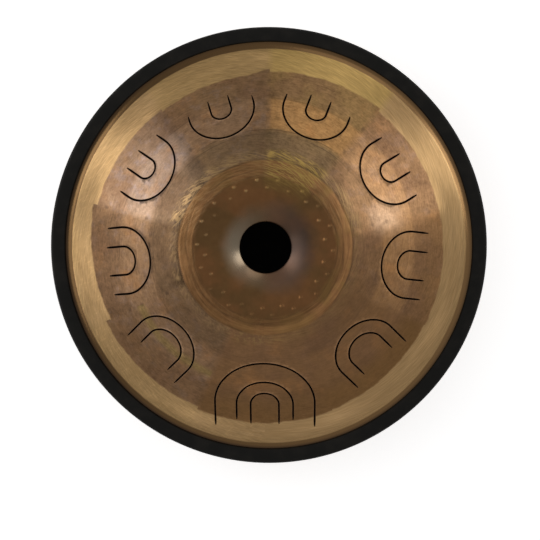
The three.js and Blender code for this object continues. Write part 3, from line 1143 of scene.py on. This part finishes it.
def sanded_gold(sh):
    """The bright band above the rim."""
    gold = sh.mix(sh.strokes(45, 1.2, 0.04, 60).step(0.25, 0.75), GOLD_DARK, GOLD_LIGHT)
    gold = sh.mix(sh["olive"] * 0.7, gold, GOLD_OLIVE)
    scratches = sh.strokes(17, 1.3, 0.45, 70).step(0.5, 0.72)
    gold = sh.shade(gold, scratches.line(0.95, 1.1))
    rough = (sh.strokes(19, 1.2, 0.16, 90) - 0.5) * sh.facing(90, 0.25)
    gold = sh.shade(gold, rough.line(1.0, 2.0))
    return sh.shade(gold, sh.noise(9, 2, place=sh.round_place(30)).line(0.86, 1.14))


def rim_colours(sh, tint):
    """The sanded band, the brown skirt below it with painted light that makes it lighter towards the right,
    and a painted contact shadow beside the trim.
    """
    past_edge = sh.wavy_radius(16, 4.5) - sh["band_edge"]
    tint = sh.mix(past_edge.step(-1.3, 1.3), tint, sanded_gold(sh))
    skirt_place = sh.radius - sh.facing(300, 1.0) + sh.swing(30, 1.5)
    # Painted light: the skirt's brown is lighter towards the right and darker towards the left
    skirt = sh.shade(SKIRT_BROWN, sh.facing(345, 0.4))
    tint = sh.mix(skirt_place.step(*SKIRT_EDGE), tint, skirt)
    # Painted shadow: a dark contact shadow beside the trim, deepest towards the lower left
    trim_shadow = sh.radius.step(*TRIM_SHADOW_EDGE) * (sh.facing(245, 0.6) * 0.55)
    return sh.mix(trim_shadow, tint, SOOT_AND_SHADE)


def turned_ring(sh, crest_colour):
    """The ring round the dish, with painted light: its outer half lighter on the right, and the whole ring
    lighter towards the right.
    """
    ring = sh.mix(sh.strokes(50, 2.8, 0.03, 20).step(0.2, 0.8), RING_DARK, RING_LIGHT)
    ring = sh.shade(ring, sh.strokes(20, 1.2, 0.05, 30).line(0.62, 1.38))
    ring = sh.shade(ring, sh.noise(15, 3, 0.6).line(0.62, 1.38))
    patches = sh.noise(26, 3, shift=210).step(0.44, 0.62)
    ring = sh.mix(patches * (sh.facing(20, 0.8) * 0.4), ring, RING_GOLD)
    # Painted light: the outer half is lighter on the right and darker on the left
    outwards = (sh.wavy_radius(40, 7.0).step(*RING_HALVES) - 0.5) * sh.facing(330, 1.2)
    ring = sh.shade(ring, outwards.line(1.0, 1.22))
    gilt = sh["olive"].step(0.1, 0.8) * 0.7
    hairs = brushed_hairs(sh, 40) * (gilt + sh["brushed"] * 0.3)
    # Painted light: the whole ring is lighter towards the right
    return sh.mix(hairs, sh.shade(ring, sh.facing(10, 0.18)), crest_colour)


def dish_colours(sh):
    """The dish, grey round the port as unoxidised metal and as painted highlights to the left and right of
    the port, brighter on the left.
    """
    dish = sh.mix(sh.noise(38, 3).step(0.38, 0.62), DISH_OLIVE, DISH_RED)
    wash = sh.wavy_radius(22, 16.0).step(*WASH_EDGE) * sh["olive"].step(0.1, 0.8)
    dish = sh.mix(wash * brushed_hairs(sh, 80).line(0.35, 0.85), dish, DISH_GOLD)
    dish = sh.shade(dish, sh.noise(9, 3, 0.6, shift=50).line(0.82, 1.18))
    across, right = sh.x / sh.radius, sh.right_half()
    bare_and_gleam_place = sh.wavy_radius(34, 16.0) - right * 10.0
    # Painted highlights: the grey is strongest to the left and right of the port, brighter on the left
    bare_and_gleam = bare_and_gleam_place.step(*BARE_AND_GLEAM_EDGE) * (across * across).line(0.45, 1.0)
    bare_and_gleam_colour = sh.shade(sh.mix(right, BARE_AND_GLEAM, ROSE_GLEAM), sh.facing(190, 0.65))
    return sh.mix(bare_and_gleam * right.line(1.0, 0.9), dish, bare_and_gleam_colour)


def inner_colours(sh, tint, crest_colour):
    """The ring, the dish, the studs and nubs lightened by wear and a painted highlight, and painted shade
    in the turned lines and along the slot edges.
    """
    tint = sh.mix(sh.wavy_radius(20, 3.0).step(*RING_EDGE), tint, turned_ring(sh, crest_colour))
    tint = sh.mix(sh.wavy_radius(16, 7.0).step(*DISH_EDGE), tint, dish_colours(sh))
    # Studs and nubs lightened, partly wear and partly a painted highlight, faded towards the lower right
    # where they catch no light
    wear_and_sheen = (sh["wear_and_sheen"] + sh.swing(6, 0.7)).step(0.2, 1.1)
    tint = sh.mix(wear_and_sheen * (sh.facing(120, 0.8) * 0.5), tint, crest_colour)
    # Painted shade in the turned grooves and along the slot edges
    tint = sh.mix(sh["line_cut"] * 0.75, tint, SOOT_AND_SHADE)
    return sh.mix(sh["slot_edge"] * 0.85, tint, SOOT_AND_SHADE)


def steel_roughness(sh):
    """Cloudy, smoother by the port and on the skirt, rougher on the studs."""
    change = sh.radius.step(*PORT_FINISH_EDGE) * sh.right_half().line(-0.3, 0.1)
    change = change - sh.radius.step(*RIM_FINISH_EDGE) * 0.25 + sh["wear_and_sheen"] * 0.7
    return sh.noise(30, 3).line(0.26, 0.4) * (change + 1.0)


def heat_tinted_steel():
    sh = Shader("heat_tinted_steel")
    long_strokes = sh.noise(1.0, 3, 0.6, place=sh.round_place(4.5))
    short_strokes = sh.noise(1.3, 3, 0.65, place=sh.round_place(16))
    tint = sh.shade(heat_colours(sh), turned_arcs(sh) * long_strokes.line(0.9, 1.1))
    tint = sh.mix(heat_lines(sh) * sh["grey"].line(0.1, 0.65), tint, SOOT_AND_SHADE)
    tint = sh.mix(crease_spots(sh) * 0.45, tint, SOOT_AND_SHADE)
    gilding = sh["olive"].math("MAXIMUM", sh["pale"].line(0.5, -1.0))
    crest_colour = sh.mix(gilding, CREST_TAN, CREST_GOLD)
    tint = sh.shade(brushed_crest(sh, tint, crest_colour), sh["tone"])
    tint = inner_colours(sh, rim_colours(sh, tint), crest_colour)
    sh.set(Base_Color=tint, Metallic=1.0, Roughness=steel_roughness(sh))
    sh.set(Normal=sh.bump(long_strokes + short_strokes, 0.03, 0.3))
    return sh.material


def rubber():
    sh = Shader("rubber")
    dust = sh.noise(25, 4, 0.65).step(0.4, 0.75)
    grain = sh.noise(0.9, 2)
    sh.set(Base_Color=sh.mix(dust, RUBBER_BLACK, RUBBER_DUST), Specular_IOR_Level=0.15)
    sh.set(Roughness=grain.line(0.45, 0.65), Normal=sh.bump(grain, 0.15, 0.4))
    return sh.material


def bowl_steel():
    sh = Shader("bowl_steel")
    turned = sh.noise(1.8, 3, 0.6, place=sh.round_place(10))
    clouds = sh.noise(60, 4, 0.6).step(0.35, 0.7)
    tint = sh.mix(clouds, UMBER, AMBER)
    sh.set(Base_Color=sh.shade(tint, turned.line(0.75, 1.25)), Metallic=1.0)
    sh.set(Roughness=clouds.line(0.36, 0.46), Normal=sh.bump(turned, 0.04, 0.3))
    return sh.material


def chamber_shade():
    """Near-black painted shade for the faces inside the shells."""
    sh = Shader("chamber_shade")
    blotches = sh.noise(12, 4, 0.65)
    sh.set(Base_Color=sh.mix(blotches, CHAMBER_SHADE_DARK, CHAMBER_SHADE_LIGHT), Specular_IOR_Level=0.2)
    sh.set(Roughness=blotches.line(0.7, 0.9), Normal=sh.bump(blotches, 0.2, 0.3))
    return sh.material


def adhesive():
    sh = Shader("adhesive")
    grain = sh.noise(3.0, 3)
    sh.set(Base_Color=sh.mix(grain, GLUE_DARK, GLUE_LIGHT))
    sh.set(Roughness=0.55, Normal=sh.bump(grain, 0.2, 0.3))
    return sh.material


def paint(pieces, material):
    for piece in pieces:
        piece.data.materials.clear()
        piece.data.materials.append(material)


# How far down or up a face looks, at the least, where it looks into the chamber
LOOKS_DOWN = -0.2
LOOKS_UP = 0.5


def looks_in(face):
    if face.center.z / MM > RIM_Z - SHEET:
        return face.normal.z < LOOKS_DOWN
    outwards = face.center.x * face.normal.x + face.center.y * face.normal.y
    return outwards < 0 or face.normal.z > LOOKS_UP


def paint_inside(pieces, material):
    """Gives the faces that look into the chamber a material of their own."""
    for piece in pieces:
        piece.data.materials.append(material)
        for face in piece.data.polygons:
            face.material_index = int(looks_in(face))


RUBBER = rubber()
CHAMBER_SHADE = chamber_shade()
TOP_PIECES = top_pieces()
BOWL = bowl_piece()
paint(TOP_PIECES, heat_tinted_steel())
paint([BOWL], bowl_steel())
paint_inside([*TOP_PIECES, BOWL], CHAMBER_SHADE)
paint([trim_piece(), *map(foot_piece, FEET)], RUBBER)
paint([frame["nodes"]["bond_ring"]], adhesive())


# Camera

CAMERA_DISTANCE = 2600.0
CAMERA_TILT = math.radians(2.5)
CAMERA_AZIMUTH = math.radians(35)
CAMERA_ROLL = math.radians(0.825)
FRAME_PIXELS = 540
RIM_PIXEL = (268.14, 245.75)
RIM_PIXEL_RADIUS = 217.7
SENSOR = 36.0


def make_camera():
    """Puts the trim's outline at its place and size in the picture."""
    rim_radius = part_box("rim_trim")[1].x / MM
    focal = RIM_PIXEL_RADIUS * CAMERA_DISTANCE / rim_radius
    flat = math.sin(CAMERA_TILT)
    back = Vector((flat * math.cos(CAMERA_AZIMUTH), flat * math.sin(CAMERA_AZIMUTH), math.cos(CAMERA_TILT)))
    north = Vector((-math.sin(CAMERA_ROLL), math.cos(CAMERA_ROLL), 0))
    up = (north - back * north.dot(back)).normalized()
    right = up.cross(back)
    aim_right = (FRAME_PIXELS / 2 - RIM_PIXEL[0]) / focal
    aim_down = (FRAME_PIXELS / 2 - RIM_PIXEL[1]) / focal
    aim = (-back + aim_right * right - aim_down * up).normalized()
    side = aim.cross(up).normalized()
    data = bpy.data.cameras.new("camera")
    data.sensor_width = SENSOR
    data.lens = focal * SENSOR / FRAME_PIXELS
    camera = link("camera", data)
    turn = Matrix((side, side.cross(aim), -aim)).transposed()
    place = (Vector((0, 0, RIM_Z)) + back * CAMERA_DISTANCE) * MM
    camera.matrix_world = Matrix.Translation(place) @ turn.to_4x4()
    bpy.context.scene.camera = camera


# Floor and light, in metres

FLOOR_REACH = 6.0
FLOOR_GLOW = 0.6
WORLD_LEVEL = 0.5
LAMP_ELEVATION = math.radians(24)
LAMP_DISTANCE = 1.9
LAMP_AIM = Vector((0, 0, 0.15))
LAMP_HEIGHT = 0.9

# Lamps round the drum: name, azimuth, width and power
LAMPS = (
    ("left_window", 157, 0.9, 6.0),
    ("left_fill", 184, 1.4, 5.0),
    ("right_window", 24, 1.0, 4.6),
    ("right_fill", 66, 1.3, 2.0),
)


def floor_paint():
    """A pale floor that glows only where it is seen or mirrored, so that it lights nothing."""
    sh = Shader("floor")
    rays = ("Is Camera Ray", "Is Glossy Ray", "Is Transmission Ray")
    camera, glossy, through = (sh.add("ShaderNodeLightPath", output=ray) for ray in rays)
    seen = (camera + glossy).math("ADD", through, clamp=True)
    sh.set(Base_Color=FLOOR_GREY, Roughness=0.9, Specular_IOR_Level=0.0)
    sh.set(Emission_Color=WHITE, Emission_Strength=seen * FLOOR_GLOW)
    return sh.material


def make_floor():
    mesh = bpy.data.meshes.new("floor")
    corners = [(x * FLOOR_REACH, y * FLOOR_REACH, 0) for x, y in ((-1, -1), (1, -1), (1, 1), (-1, 1))]
    mesh.from_pydata(corners, [], [(0, 1, 2, 3)])
    floor = link("floor", mesh)
    paint([floor], floor_paint())


def make_lamp(name, azimuth, width, power):
    data = bpy.data.lights.new(name, "AREA")
    data.shape = "ELLIPSE"
    data.size, data.size_y = width, LAMP_HEIGHT
    data.energy = power
    lamp = link(name, data)
    turn, flat = math.radians(azimuth), math.cos(LAMP_ELEVATION)
    towards = Vector((math.cos(turn) * flat, math.sin(turn) * flat, math.sin(LAMP_ELEVATION)))
    lamp.location = towards * LAMP_DISTANCE + LAMP_AIM
    lamp.rotation_mode = "QUATERNION"
    lamp.rotation_quaternion = towards.to_track_quat("Z", "Y")


def make_world():
    world = bpy.data.worlds.new("studio")
    world.use_nodes = True
    background = world.node_tree.nodes["Background"]
    background.inputs["Color"].default_value = (*WHITE, 1.0)
    background.inputs["Strength"].default_value = WORLD_LEVEL
    bpy.context.scene.world = world


make_camera()
make_floor()
for lamp in LAMPS:
    make_lamp(*lamp)
make_world()
bpy.context.scene.view_settings.view_transform = "Standard"

bpy.context.view_layer.update()
